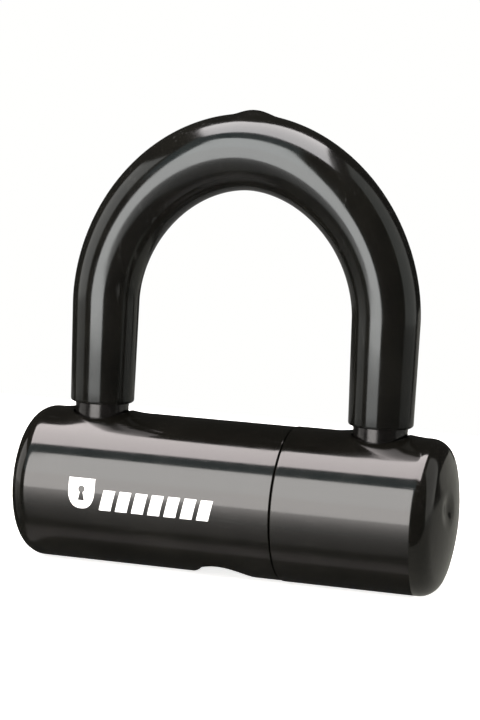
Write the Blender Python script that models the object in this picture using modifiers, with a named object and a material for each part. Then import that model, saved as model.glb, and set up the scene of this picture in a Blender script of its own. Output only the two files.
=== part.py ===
"""A mini U-lock: a sleeved 13 mm shackle whose two legs lock into a covered crossbar.

Heights in the dimensions below are measured from the crossbar's axis, which lies along X.
An empty on that axis carries every piece, so the lowest point of the lock is at Z = 0.
At rest the shackle is home, the bolts are drawn back and the key pins meet the shear line.
"""

import math

import bmesh
import bpy
from mathutils import Matrix, Vector

MM = 0.001
GAP = 0.3 * MM  # clearance between pieces that touch
THROUGH = 2 * MM  # how far a cutter runs past the face it opens

# Shackle: a U of round bar, its crown a superellipse.
BAR_RADIUS = 6.5 * MM
LEG_X = 35.1 * MM
ARCH_START = 45.3 * MM
ARCH_RISE = 38.0 * MM
ARCH_POWER = 1.921
ARCH_STEPS = 24
BAR_SIDES = 20
LEG_END = -10.5 * MM
LEG_TAPER = 2.0 * MM
NOTCH_DEPTH = 4.6 * MM
NOTCH_LOW, NOTCH_HIGH = 5.1 * MM, 10.9 * MM

# Rubber sleeve around the shackle, thickest at the crown.
SLEEVE_END = 20.7 * MM
SLEEVE_RADIUS_LOW = 7.75 * MM
SLEEVE_RADIUS_MID = 8.1 * MM
SLEEVE_RADIUS_TOP = 9.1 * MM
SLEEVE_ROUNDING = 0.6 * MM
BUMP_X = 0.5 * MM
BUMP_HALF_SIZE = Vector((3.6, 2.6, 1.6)) * MM
BUMP_HEIGHT = 0.9 * MM

# Crossbar covers: two moulded cups that meet at a seam right of the middle.
LEFT_COVER_RADIUS = 18.5 * MM
RIGHT_COVER_RADIUS = 18.65 * MM
COVER_INSIDE = 16.6 * MM
COVER_HALF_LENGTH = 54.0 * MM
COVER_END_WALL = 3.5 * MM
COVER_END_FILLET = 5.0 * MM
COVER_END_DOME = 54.2 * MM
COVER_INSIDE_FILLET, COVER_INSIDE_DOME = 2.0 * MM, 400 * MM
COVER_SEAM = 14.1 * MM
COVER_LEG_HOLE = 6.9 * MM
COVER_MOUTH = 8.4 * MM
MOUTH_RISE, MOUTH_STRETCH = 0.2 * MM, 1.5  # the flare's rim above the cover, and its depth over its width
KEY_OPENING_RADIUS = 7.6 * MM
KEY_OPENING_OFFSET = 3.0 * MM  # each round end's centre, from the middle, along Y
KEY_OPENING_X = -0.6 * MM
DIMPLE_Y, DIMPLE_Z = -5.0 * MM, 3.5 * MM
DIMPLE_X, DIMPLE_DEPTH = 53.65 * MM, 0.7 * MM  # its mouth's middle and its depth
DIMPLE_RADIUS = 4.5 * MM

# Hardened tube under the covers.
TUBE_OUTSIDE = 16.3 * MM
TUBE_INSIDE = 13.7 * MM
TUBE_HALF_LENGTH = 48.2 * MM
LEG_HOLE = 6.8 * MM
KEY_HOLE = 5.6 * MM
WALL_MARGIN = 4.0 * MM  # how far a hole's cutter starts inside a wall
END_PLUG_RADIUS = 13.4 * MM
END_PLUG_FACES = (44.3 * MM, 48.0 * MM)
END_PIN_RADIUS = 1.2 * MM
END_PIN_X = sum(END_PLUG_FACES) / 2
CHASSIS_PIN_RADIUS = 1.4 * MM
CHASSIS_PIN_X = 17.0 * MM
PIN_INNER_END, PIN_OUTER_END = 9.0 * MM, 16.0 * MM

# Chassis: a lower and an upper half that fill the tube.
CHASSIS_RADIUS = 13.4 * MM
CHASSIS_HALF_LENGTH = 44.0 * MM
CHASSIS_SPLIT = 5.35 * MM
SOCKET_FLOOR = -10.9 * MM
CHANNEL_HALF_WIDTH = 5.7 * MM
CHANNEL_TOP = 10.8 * MM
SCREW_X, SCREW_Y = 22.0 * MM, 9.0 * MM
SCREW_RADIUS, SCREW_TIP = 1.25 * MM, 8.4 * MM
SCREW_HEAD_RADIUS, SCREW_HEAD_LOW, SCREW_HEAD_HIGH = 2.3 * MM, -7.2 * MM, -5.3 * MM
SCREW_RECESS_RADIUS, SCREW_RECESS_DEPTH = 1.1 * MM, 1.2 * MM
SCREW_CHAMFER, SCREW_HEAD_SIDES = 0.3 * MM, 16

# Pin tumbler cylinder, upright, with its keyway facing down.
SHELL_RADIUS = 6.1 * MM
SHELL_BORE = 4.95 * MM
SHELL_FACE, SHELL_TOP = -11.95 * MM, 2.0 * MM
PIN_BLOCK_X, PIN_BLOCK_HALF_WIDTH = 13.6 * MM, 2.9 * MM
CHAMBER_RADIUS, CHAMBER_OVERLAP = 1.3 * MM, 1.0 * MM
CHAMBER_HEIGHTS = [height * MM for height in (-9.9, -6.6, -3.3, 0.0)]
COVER_STRIP_X = (12.6 * MM, 13.4 * MM)
COVER_STRIP_HALF_WIDTH = 1.7 * MM
COVER_STRIP_HEIGHTS = (-11.3 * MM, 1.4 * MM)
PLUG_RADIUS = 4.8 * MM
PLUG_TOP = 3.2 * MM
KEYWAY_HALF_WIDTH, KEYWAY_HALF_HEIGHT, KEYWAY_END = 1.0 * MM, 3.6 * MM, 1.6 * MM
CHAMBER_FLOOR = 0.8 * MM
GROOVE_RADIUS, GROOVE_HEIGHTS = 4.0 * MM, (2.2 * MM, 2.8 * MM)
CLIP_RADII, CLIP_HEIGHTS, CLIP_MOUTH = (4.3 * MM, 5.6 * MM), (2.3 * MM, 2.7 * MM), 3.0 * MM
TAIL_WIDTH, TAIL_ROOT = 3.0 * MM, 1.0 * MM
PIN_RADIUS = 1.15 * MM
PIN_CHAMFER = 0.3 * MM
KEY_PIN_LENGTHS = [length * MM for length in (3.2, 2.7, 3.0, 2.85)]
KEY_PIN_OUTER_END = 4.7 * MM
DRIVER_PIN_INNER_END, DRIVER_PIN_LENGTH = 5.1 * MM, 3.2 * MM
SPRING_RADIUS, SPRING_WIRE = 0.8 * MM, 0.18 * MM
SPRING_ENDS = (8.7 * MM, 12.2 * MM)
SPRING_TURNS, SPRING_POINTS_PER_TURN, SPRING_SIDES = 4, 6, 6

# Cam and bolts: two crank pins work the two bolts through slots in their tails.
CAM_RADIUS, CAM_HEIGHTS = 5.6 * MM, (3.5 * MM, 5.2 * MM)
CRANK_RADIUS, CRANK_PIN_RADIUS, CRANK_PIN_TOP = 3.3 * MM, 1.0 * MM, 9.8 * MM
CRANK_REST_ANGLE = math.radians(45)
BOLT_HALF_WIDTH = 5.4 * MM
BOLT_LOW, BOLT_HIGH = 5.65 * MM, 10.5 * MM
BOLT_NOSE, BOLT_SHOULDER, BOLT_TAIL = 28.0 * MM, 5.6 * MM, -4.6 * MM
BOLT_TAIL_INNER, BOLT_TAIL_ROOT = 0.4 * MM, 2.0 * MM
BOLT_CHAMFER = 0.7 * MM
SLOT_WIDTH, SLOT_RANGE = 2.5 * MM, (1.0 * MM, 4.7 * MM)

# Sides of the round shapes, by their size.
LARGE_SIDES, MEDIUM_SIDES, SMALL_SIDES, HOLE_SIDES = 40, 32, 24, 12
WELD = 0.001 * MM  # points nearer than this are one point
STEP = 0.05 * MM  # keeps the faces of joined shapes from coinciding

ALONG = {
    "X": Matrix.Rotation(math.pi / 2, 4, "Y"),
    "Y": Matrix.Rotation(-math.pi / 2, 4, "X"),
    "Z": Matrix(),
}


# ---------------------------------------------------------------- scene and helpers


def clear_scene():
    for obj in list(bpy.data.objects):
        bpy.data.objects.remove(obj, do_unlink=True)
    for collection in list(bpy.data.collections):
        bpy.data.collections.remove(collection)


def new_collection(name, helpers=False):
    collection = bpy.data.collections.new(name)
    collection.hide_render = helpers
    bpy.context.scene.collection.children.link(collection)
    return collection


def new_empty(name, location, parent=None):
    empty = bpy.data.objects.new(name, None)
    empty.empty_display_size = 5 * MM
    empty.location = location
    empty.parent = parent
    pieces.objects.link(empty)
    return empty


def as_helper(obj):
    """Makes an object a cutter or a guide: wire only, and out of the render."""
    helpers.objects.link(obj)
    obj.parent = lock_axis
    obj.hide_render = True
    obj.display_type = "WIRE"
    return obj


def as_piece(obj, name, finish, parent=None):
    """Names an object, gives it its material and hangs it on the lock's axis."""
    obj.name = name
    obj.data.name = name
    obj.data.materials.clear()
    obj.data.materials.append(finish)
    obj.parent = parent or lock_axis
    pieces.objects.link(obj)
    if obj.type == "MESH":
        obj.data.shade_smooth()
        obj.data.set_sharp_from_angle(angle=math.radians(35))
    return obj


def make_finish(name, colour, roughness, metallic=0.0):
    finish = bpy.data.materials.new(name)
    finish.use_nodes = True
    shader = finish.node_tree.nodes["Principled BSDF"]
    shader.inputs["Base Color"].default_value = (*colour, 1.0)
    shader.inputs["Roughness"].default_value = roughness
    shader.inputs["Metallic"].default_value = metallic
    finish.diffuse_color = (*colour, 1.0)
    return finish


def from_bmesh(shape, name):
    mesh = bpy.data.meshes.new(name)
    shape.to_mesh(mesh)
    shape.free()
    return bpy.data.objects.new(name, mesh)


def cylinder(radius, low, high, centre=(0, 0), axis="Z", sides=SMALL_SIDES):
    """A cylinder from low to high along an axis. Its centre is (x, y), (x, z) along Y, or (y, z) along X."""
    shape = bmesh.new()
    bmesh.ops.create_cone(
        shape, cap_ends=True, segments=sides, radius1=radius, radius2=radius, depth=high - low
    )
    middle = (low + high) / 2
    place = {
        "X": (middle, *centre),
        "Y": (centre[0], middle, centre[1]),
        "Z": (*centre, middle),
    }[axis]
    bmesh.ops.transform(shape, matrix=Matrix.Translation(place) @ ALONG[axis], verts=shape.verts)
    return from_bmesh(shape, "cylinder")


def box(low, high):
    shape = bmesh.new()
    low, high = Vector(low), Vector(high)
    size = Matrix.Diagonal((*(high - low), 1.0))
    bmesh.ops.create_cube(shape, matrix=Matrix.Translation((low + high) / 2) @ size)
    return from_bmesh(shape, "box")


def turned(outline, sides, closed=False):
    """Turns an outline of (radius, height) points about Z. It runs down its outer side."""
    shape = bmesh.new()
    points = [shape.verts.new((radius, 0.0, height)) for radius, height in outline]
    for first, second in zip(points, points[1:] + points[:1] if closed else points[1:]):
        shape.edges.new((first, second))
    obj = from_bmesh(shape, "turned")
    screw = obj.modifiers.new("turn", "SCREW")
    screw.axis = "Z"
    screw.angle = 2 * math.pi
    screw.steps = screw.render_steps = sides
    screw.use_merge_vertices = True
    screw.merge_threshold = 0.01 * MM
    return obj


def solid_from_curve(curve):
    """The curve's own solid as a mesh object, its caps welded to its sides."""
    guide = bpy.data.objects.new(curve.name, curve)
    helpers.objects.link(guide)
    bpy.context.view_layer.update()
    solid = guide.evaluated_get(bpy.context.evaluated_depsgraph_get())
    shape = bmesh.new()
    shape.from_mesh(bpy.data.meshes.new_from_object(solid))
    bpy.data.objects.remove(guide, do_unlink=True)
    bmesh.ops.remove_doubles(shape, verts=shape.verts, dist=WELD)
    bmesh.ops.recalc_face_normals(shape, faces=shape.faces)
    return from_bmesh(shape, curve.name)


def swept(points, radii, sides):
    """A round bar through the points."""
    curve = bpy.data.curves.new("swept", "CURVE")
    curve.dimensions = "3D"
    curve.bevel_depth = 1.0
    curve.bevel_resolution = (sides - 4) // 2
    curve.use_fill_caps = True
    spline = curve.splines.new("POLY")
    spline.points.add(len(points) - 1)
    for point, place, radius in zip(spline.points, points, radii):
        point.co = (*place, 1.0)
        point.radius = radius
    return solid_from_curve(curve)


def combine(obj, other, operation):
    boolean = obj.modifiers.new(operation.lower(), "BOOLEAN")
    boolean.operation = operation
    boolean.solver = "EXACT"
    boolean.object = as_helper(other)


def cut(obj, *cutters):
    for cutter in cutters:
        combine(obj, cutter, "DIFFERENCE")


def join(obj, *others):
    for other in others:
        combine(obj, other, "UNION")


# ---------------------------------------------------------------- shackle


def arch_point(angle):
    """A point of the crown's centreline, by its angle from the right leg."""
    power = 2 / ARCH_POWER
    across = math.copysign(abs(math.cos(angle)) ** power, math.cos(angle))
    return Vector((LEG_X * across, 0, ARCH_START + ARCH_RISE * abs(math.sin(angle)) ** power))


def crown_angles():
    return [math.pi * step / ARCH_STEPS for step in range(ARCH_STEPS + 1)]


def leg_points(heights, side):
    return [Vector((side * LEG_X, 0, height)) for height in heights]


def make_shackle_bar():
    heights = [LEG_END, LEG_END + LEG_TAPER]
    radii = [BAR_RADIUS - LEG_TAPER, BAR_RADIUS]
    points = leg_points(heights, 1) + [arch_point(angle) for angle in crown_angles()]
    points += leg_points(reversed(heights), -1)
    bar = swept(points, radii + [BAR_RADIUS] * (ARCH_STEPS + 1) + radii[::-1], BAR_SIDES)
    wall = LEG_X - BAR_RADIUS + NOTCH_DEPTH
    for near, far in ((LEG_X - BAR_RADIUS - THROUGH, wall), (-wall, -LEG_X + BAR_RADIUS + THROUGH)):
        side = BAR_RADIUS + THROUGH
        cut(bar, box((near, -side, NOTCH_LOW), (far, side, NOTCH_HIGH)))
    return as_piece(bar, "shackle_bar", steel, shackle_axis)


def make_shackle_sleeve():
    heights = [SLEEVE_END, SLEEVE_END + SLEEVE_ROUNDING]
    radii = [SLEEVE_RADIUS_LOW - SLEEVE_ROUNDING, SLEEVE_RADIUS_LOW]
    thickening = SLEEVE_RADIUS_TOP - SLEEVE_RADIUS_MID
    crown = [SLEEVE_RADIUS_MID + thickening * math.sin(angle) ** 2 for angle in crown_angles()]
    arch = [arch_point(angle) for angle in crown_angles()]
    points = leg_points(heights, 1) + arch + leg_points(reversed(heights), -1)
    sleeve = swept(points, radii + crown + radii[::-1], BAR_SIDES)

    shape = bmesh.new()
    top = ARCH_START + ARCH_RISE + SLEEVE_RADIUS_TOP + BUMP_HEIGHT
    centre = Vector((BUMP_X, 0, top - BUMP_HALF_SIZE.z))
    size = Matrix.Diagonal((*BUMP_HALF_SIZE, 1.0))
    place = Matrix.Translation(centre) @ size
    bmesh.ops.create_uvsphere(shape, u_segments=12, v_segments=8, radius=1.0, matrix=place)
    join(sleeve, from_bmesh(shape, "bump"))

    below = leg_points([SLEEVE_END - THROUGH], 1) + arch + leg_points([SLEEVE_END - THROUGH], -1)
    cut(sleeve, swept(below, [BAR_RADIUS + GAP] * len(below), BAR_SIDES))
    return as_piece(sleeve, "shackle_sleeve", rubber, shackle_axis)


# ---------------------------------------------------------------- crossbar


def rounded_end(radius, fillet, dome, end, steps=4):
    """(radius, x) from the axis to the side: a shallow dome and a fillet tangent to both."""
    centre = end - dome
    meeting = math.asin((radius - fillet) / (dome - fillet))
    fillet_x = centre + (dome - fillet) * math.cos(meeting)
    domed = [meeting * step / steps for step in range(steps)]
    round_part = [meeting + (math.pi / 2 - meeting) * step / steps for step in range(steps + 1)]
    return [(dome * math.sin(a), centre + dome * math.cos(a)) for a in domed] + [
        (radius - fillet + fillet * math.sin(a), fillet_x + fillet * math.cos(a)) for a in round_part
    ]


def cover_outline(radius, seam):
    """Half section of a cup that opens at the seam: its outside, then its inside back to the axis."""
    outside = rounded_end(radius, COVER_END_FILLET, COVER_END_DOME, COVER_HALF_LENGTH)
    floor = COVER_HALF_LENGTH - COVER_END_WALL
    inside = rounded_end(COVER_INSIDE, COVER_INSIDE_FILLET, COVER_INSIDE_DOME, floor, steps=3)
    return outside + [(radius, seam), (COVER_INSIDE, seam)] + inside[::-1]


def leg_mouth(side):
    """The cutter of a cover's leg hole, flared where it leaves the cover."""
    flare = COVER_MOUTH - COVER_LEG_HOLE
    low, high = TUBE_OUTSIDE - WALL_MARGIN, LEFT_COVER_RADIUS + MOUTH_RISE
    steps = 3
    arc = [math.pi / 2 * step / steps for step in range(steps + 1)]
    rounding = [
        (COVER_MOUTH - flare * math.sin(a), high - MOUTH_STRETCH * flare * (1 - math.cos(a)))
        for a in arc
    ]
    outline = [(0, high + THROUGH), (COVER_MOUTH, high + THROUGH)] + rounding
    cutter = turned(outline + [(COVER_LEG_HOLE, low), (0, low)], SMALL_SIDES)
    cutter.location.x = side * LEG_X
    return cutter


def key_opening():
    """The upright cutter of the opening under the keyway. Its ends are round, and it is longer along Y."""
    low, high = -RIGHT_COVER_RADIUS - THROUGH, -TUBE_INSIDE + WALL_MARGIN
    curve = bpy.data.curves.new("key_opening", "CURVE")
    curve.dimensions = "2D"
    curve.fill_mode = "BOTH"
    curve.extrude = (high - low) / 2
    steps = 10
    corners = []
    for end, start in ((1, 0.0), (-1, math.pi)):
        for step in range(steps + 1):
            angle = start + math.pi * step / steps
            across = end * KEY_OPENING_OFFSET + KEY_OPENING_RADIUS * math.sin(angle)
            corners.append((KEY_OPENING_RADIUS * math.cos(angle), across))
    spline = curve.splines.new("POLY")
    spline.points.add(len(corners) - 1)
    for point, (x, y) in zip(spline.points, corners):
        point.co = (x, y, 0.0, 1.0)
    spline.use_cyclic_u = True
    cutter = solid_from_curve(curve)
    cutter.location = (KEY_OPENING_X, 0, (low + high) / 2)
    return cutter


def end_dimple():
    """A shallow cone sunk into the right cover's end."""
    cone = [(0, DIMPLE_DEPTH), (2 * DIMPLE_RADIUS, DIMPLE_DEPTH), (0, -DIMPLE_DEPTH)]
    dimple = turned(cone, SMALL_SIDES)
    dimple.rotation_euler.y = math.pi / 2
    dimple.location = (DIMPLE_X, DIMPLE_Y, DIMPLE_Z)
    return dimple


def make_right_cover():
    cover = turned(cover_outline(RIGHT_COVER_RADIUS, COVER_SEAM + GAP / 2), LARGE_SIDES)
    cover.rotation_euler.y = math.pi / 2
    cut(cover, leg_mouth(1))
    cut(cover, end_dimple())
    return as_piece(cover, "right_cover", plastic)


def make_left_cover():
    cover = turned(cover_outline(LEFT_COVER_RADIUS, -COVER_SEAM + GAP / 2), LARGE_SIDES)
    cover.rotation_euler.y = -math.pi / 2
    cut(cover, leg_mouth(-1), key_opening())
    return as_piece(cover, "left_cover", plastic)


def make_crossbar_tube():
    ends = TUBE_HALF_LENGTH
    outline = [(TUBE_OUTSIDE, ends), (TUBE_OUTSIDE, -ends), (TUBE_INSIDE, -ends), (TUBE_INSIDE, ends)]
    tube = turned(outline, LARGE_SIDES, closed=True)
    tube.rotation_euler.y = math.pi / 2
    wall = (TUBE_INSIDE - WALL_MARGIN, TUBE_OUTSIDE + THROUGH)
    for side in (1, -1):
        cut(tube, cylinder(LEG_HOLE, *wall, (side * LEG_X, 0)))
        for radius, x in ((CHASSIS_PIN_RADIUS, CHASSIS_PIN_X), (END_PIN_RADIUS, END_PIN_X)):
            cut(tube, cylinder(radius + GAP, *wall, (side * x, 0), "Y", HOLE_SIDES))
    cut(tube, cylinder(KEY_HOLE, -wall[1], -wall[0]))
    return as_piece(tube, "crossbar_tube", steel)


def make_end_plug(name, side):
    low, high = sorted(side * face for face in END_PLUG_FACES)
    disc = cylinder(END_PLUG_RADIUS, low, high, axis="X", sides=LARGE_SIDES)
    hole = (PIN_INNER_END - GAP, TUBE_OUTSIDE)
    cut(disc, cylinder(END_PIN_RADIUS + GAP, *hole, (side * END_PIN_X, 0), "Y", HOLE_SIDES))
    return as_piece(disc, name, steel)


def make_roll_pin(name, radius, x):
    """A short hollow pin along Y, through the tube's back wall."""
    bore = radius / 2
    ends = (PIN_OUTER_END, PIN_INNER_END)
    outline = [(radius, end) for end in ends] + [(bore, end) for end in reversed(ends)]
    pin = turned(outline, HOLE_SIDES, closed=True)
    pin.rotation_euler.x = -math.pi / 2
    pin.location.x = x
    return as_piece(pin, name, steel)


# ---------------------------------------------------------------- chassis


def chassis_body():
    ends = (-CHASSIS_HALF_LENGTH, CHASSIS_HALF_LENGTH)
    return cylinder(CHASSIS_RADIUS, *ends, axis="X", sides=MEDIUM_SIDES)


def screw_places():
    return [(x, y) for x in (-SCREW_X, SCREW_X) for y in (-SCREW_Y, SCREW_Y)]


def far_box(low, high):
    """A box wider than the chassis, between two heights."""
    x, y = CHASSIS_HALF_LENGTH + THROUGH, CHASSIS_RADIUS + THROUGH
    return box((-x, -y, low), (x, y, high))


def make_chassis_lower():
    chassis = chassis_body()
    below = -CHASSIS_RADIUS - THROUGH
    above = CHASSIS_SPLIT + THROUGH
    cut(chassis, far_box(CHASSIS_SPLIT - GAP / 2, CHASSIS_RADIUS + THROUGH))
    cut(chassis, cylinder(SHELL_RADIUS + GAP, below, SHELL_TOP + GAP, sides=MEDIUM_SIDES))
    block = PIN_BLOCK_HALF_WIDTH + GAP
    cut(chassis, box((0, -block, below), (PIN_BLOCK_X + GAP, block, SHELL_TOP + GAP)))
    cut(chassis, cylinder(CAM_RADIUS + GAP, SHELL_TOP - GAP, above, sides=MEDIUM_SIDES))
    back = (PIN_INNER_END - GAP, CHASSIS_RADIUS + THROUGH)
    for side in (1, -1):
        cut(chassis, cylinder(LEG_HOLE, SOCKET_FLOOR, above, (side * LEG_X, 0)))
        pin_place = (side * CHASSIS_PIN_X, 0)
        cut(chassis, cylinder(CHASSIS_PIN_RADIUS + GAP, *back, pin_place, "Y", HOLE_SIDES))
    head_top = SCREW_HEAD_HIGH + GAP
    for place in screw_places():
        cut(chassis, cylinder(SCREW_RADIUS + GAP, below, above, place, sides=HOLE_SIDES))
        cut(chassis, cylinder(SCREW_HEAD_RADIUS + GAP, below, head_top, place, sides=SCREW_HEAD_SIDES))
    return as_piece(chassis, "chassis_lower", zinc)


def make_chassis_upper():
    chassis = chassis_body()
    below = CHASSIS_SPLIT - THROUGH
    cut(chassis, far_box(-CHASSIS_RADIUS - THROUGH, CHASSIS_SPLIT + GAP / 2))
    half = CHANNEL_HALF_WIDTH
    cut(chassis, box((-LEG_X, -half, below), (LEG_X, half, CHANNEL_TOP)))
    for side in (1, -1):
        cut(chassis, cylinder(LEG_HOLE, below, CHASSIS_RADIUS + THROUGH, (side * LEG_X, 0)))
    for place in screw_places():
        cut(chassis, cylinder(SCREW_RADIUS + GAP, below, SCREW_TIP + GAP, place, sides=HOLE_SIDES))
    return as_piece(chassis, "chassis_upper", zinc)


def make_chassis_screw(number, place):
    """A cap screw that enters from below, with a hexagon recess in its head."""
    outline = [
        (0, SCREW_TIP),
        (SCREW_RADIUS - SCREW_CHAMFER, SCREW_TIP),
        (SCREW_RADIUS, SCREW_TIP - SCREW_CHAMFER),
        (SCREW_RADIUS, SCREW_HEAD_HIGH),
        (SCREW_HEAD_RADIUS, SCREW_HEAD_HIGH),
        (SCREW_HEAD_RADIUS, SCREW_HEAD_LOW),
        (0, SCREW_HEAD_LOW),
    ]
    screw = turned(outline, HOLE_SIDES)
    screw.location = (*place, 0)
    recess = (SCREW_HEAD_LOW - THROUGH, SCREW_HEAD_LOW + SCREW_RECESS_DEPTH)
    cut(screw, cylinder(SCREW_RECESS_RADIUS, *recess, place, sides=6))
    return as_piece(screw, f"chassis_screw_{number}", steel)


# ---------------------------------------------------------------- cylinder


def make_cylinder_shell():
    shell = cylinder(SHELL_RADIUS, SHELL_FACE, SHELL_TOP, sides=MEDIUM_SIDES)
    half = PIN_BLOCK_HALF_WIDTH
    join(shell, box((SHELL_BORE, -half, SHELL_FACE + STEP), (PIN_BLOCK_X, half, SHELL_TOP - STEP)))
    cut(shell, cylinder(SHELL_BORE, SHELL_FACE - THROUGH, SHELL_TOP + THROUGH, sides=MEDIUM_SIDES))
    chamber = (SHELL_BORE - CHAMBER_OVERLAP, PIN_BLOCK_X + THROUGH)
    for height in CHAMBER_HEIGHTS:
        cut(shell, cylinder(CHAMBER_RADIUS, *chamber, (0, height), "X", HOLE_SIDES))
    strip = COVER_STRIP_HALF_WIDTH + GAP
    low, high = COVER_STRIP_HEIGHTS
    seat = COVER_STRIP_X[0] - 2 * STEP
    cut(shell, box((seat, -strip, low - GAP), (PIN_BLOCK_X + THROUGH, strip, high + GAP)))
    return as_piece(shell, "cylinder_shell", brass)


def make_chamber_cover():
    low, high = COVER_STRIP_HEIGHTS
    half = COVER_STRIP_HALF_WIDTH
    strip = box((COVER_STRIP_X[0], -half, low), (COVER_STRIP_X[1], half, high))
    return as_piece(strip, "chamber_cover", brass)


def make_plug():
    groove_low, groove_high = GROOVE_HEIGHTS
    outline = [
        (0, PLUG_TOP),
        (PLUG_RADIUS, PLUG_TOP),
        (PLUG_RADIUS, groove_high),
        (GROOVE_RADIUS, groove_high),
        (GROOVE_RADIUS, groove_low),
        (PLUG_RADIUS, groove_low),
        (PLUG_RADIUS, SHELL_FACE),
        (0, SHELL_FACE),
    ]
    plug = turned(outline, MEDIUM_SIDES)
    half = TAIL_WIDTH / 2
    tail = box((-half, -half, PLUG_TOP - TAIL_ROOT), (half, half, CAM_HEIGHTS[1]))
    tail.rotation_euler.z = CRANK_REST_ANGLE
    join(plug, tail)
    wide, tall = KEYWAY_HALF_WIDTH, KEYWAY_HALF_HEIGHT
    cut(plug, box((-wide, -tall, SHELL_FACE - THROUGH), (wide, tall, KEYWAY_END)))
    chamber = (-SHELL_RADIUS, -CHAMBER_FLOOR)
    for height in CHAMBER_HEIGHTS:
        cut(plug, cylinder(CHAMBER_RADIUS, *chamber, (0, height), "Y", HOLE_SIDES))
    return as_piece(plug, "plug", brass, plug_axis)


def make_plug_clip():
    inside, outside = CLIP_RADII
    low, high = CLIP_HEIGHTS
    ring = [(outside, high), (outside, low), (inside, low), (inside, high)]
    clip = turned(ring, MEDIUM_SIDES, closed=True)
    half = CLIP_MOUTH / 2
    cut(clip, box((0, -half, low - THROUGH), (outside + THROUGH, half, high + THROUGH)))
    return as_piece(clip, "plug_clip", steel, plug_axis)


def chamfered_pin(length):
    """A pin along Z from 0 to its length, both ends chamfered."""
    flat = PIN_RADIUS - PIN_CHAMFER
    outline = [
        (0, length),
        (flat, length),
        (PIN_RADIUS, length - PIN_CHAMFER),
        (PIN_RADIUS, PIN_CHAMFER),
        (flat, 0),
        (0, 0),
    ]
    return turned(outline, HOLE_SIDES)


def make_key_pin(number, height, length):
    pin = chamfered_pin(length)
    pin.rotation_euler.x = -math.pi / 2
    pin.location = (0, -KEY_PIN_OUTER_END, height)
    return as_piece(pin, f"key_pin_{number}", brass, plug_axis)


def make_driver_pin(number, height):
    pin = chamfered_pin(DRIVER_PIN_LENGTH)
    pin.rotation_euler.y = math.pi / 2
    pin.location = (DRIVER_PIN_INNER_END, 0, height)
    return as_piece(pin, f"driver_pin_{number}", steel)


def make_driver_spring(number, height):
    start, end = SPRING_ENDS
    count = SPRING_TURNS * SPRING_POINTS_PER_TURN
    points = []
    for step in range(count + 1):
        angle = 2 * math.pi * step / SPRING_POINTS_PER_TURN
        along = start + SPRING_WIRE + (end - start - 2 * SPRING_WIRE) * step / count
        around = (SPRING_RADIUS * math.cos(angle), SPRING_RADIUS * math.sin(angle))
        points.append(Vector((along, *around)))
    coil = swept(points, [SPRING_WIRE] * len(points), SPRING_SIDES)
    coil.location.z = height
    return as_piece(coil, f"driver_spring_{number}", steel)


# ---------------------------------------------------------------- cam and bolts


def make_cam():
    low, high = CAM_HEIGHTS
    cam = cylinder(CAM_RADIUS, low, high, sides=MEDIUM_SIDES)
    for turn in (0, math.pi):
        angle = CRANK_REST_ANGLE + turn
        centre = (CRANK_RADIUS * math.cos(angle), CRANK_RADIUS * math.sin(angle))
        join(cam, cylinder(CRANK_PIN_RADIUS, (low + high) / 2, CRANK_PIN_TOP, centre))
    half = TAIL_WIDTH / 2 + GAP / 2
    square = box((-half, -half, low - THROUGH), (half, half, high + THROUGH))
    square.rotation_euler.z = CRANK_REST_ANGLE
    cut(cam, square)
    return as_piece(cam, "cam", steel, plug_axis)


def make_bolt(name, turn):
    """The right bolt, or the left one when turned half round about the lock's middle."""
    half = BOLT_HALF_WIDTH
    bolt = box((BOLT_SHOULDER, -half, BOLT_LOW), (BOLT_NOSE, half, BOLT_HIGH))
    bevel = bolt.modifiers.new("edges", "BEVEL")
    bevel.width = BOLT_CHAMFER
    bevel.segments = 1
    tail = box(
        (BOLT_TAIL, -half, BOLT_LOW + STEP),
        (BOLT_SHOULDER + BOLT_TAIL_ROOT, -BOLT_TAIL_INNER, BOLT_HIGH - STEP),
    )
    slot_middle = -CRANK_RADIUS * math.sin(CRANK_REST_ANGLE)
    inner, outer = SLOT_RANGE
    slot = box(
        (slot_middle - SLOT_WIDTH / 2, -outer, BOLT_LOW - THROUGH),
        (slot_middle + SLOT_WIDTH / 2, -inner, BOLT_HIGH + THROUGH),
    )
    for tool in (tail, slot):
        tool.rotation_euler.z = turn
    join(bolt, tail)
    cut(bolt, slot)
    bolt.rotation_euler.z = turn
    return as_piece(bolt, name, steel)


# ---------------------------------------------------------------- the lock

clear_scene()
pieces = new_collection("mini_u_lock")
helpers = new_collection("mini_u_lock_cutters", helpers=True)
lock_axis = new_empty("crossbar_axis", (0, 0, RIGHT_COVER_RADIUS))
shackle_axis = new_empty("shackle_axis", (0, 0, 0), lock_axis)
plug_axis = new_empty("plug_axis", (0, 0, 0), lock_axis)

steel = make_finish("hardened_steel", (0.32, 0.32, 0.34), 0.35, 1.0)
rubber = make_finish("black_rubber", (0.012, 0.012, 0.013), 0.32)
plastic = make_finish("black_plastic", (0.010, 0.010, 0.012), 0.22)
zinc = make_finish("cast_zinc", (0.45, 0.45, 0.47), 0.5, 1.0)
brass = make_finish("brass", (0.72, 0.52, 0.22), 0.35, 1.0)

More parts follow.
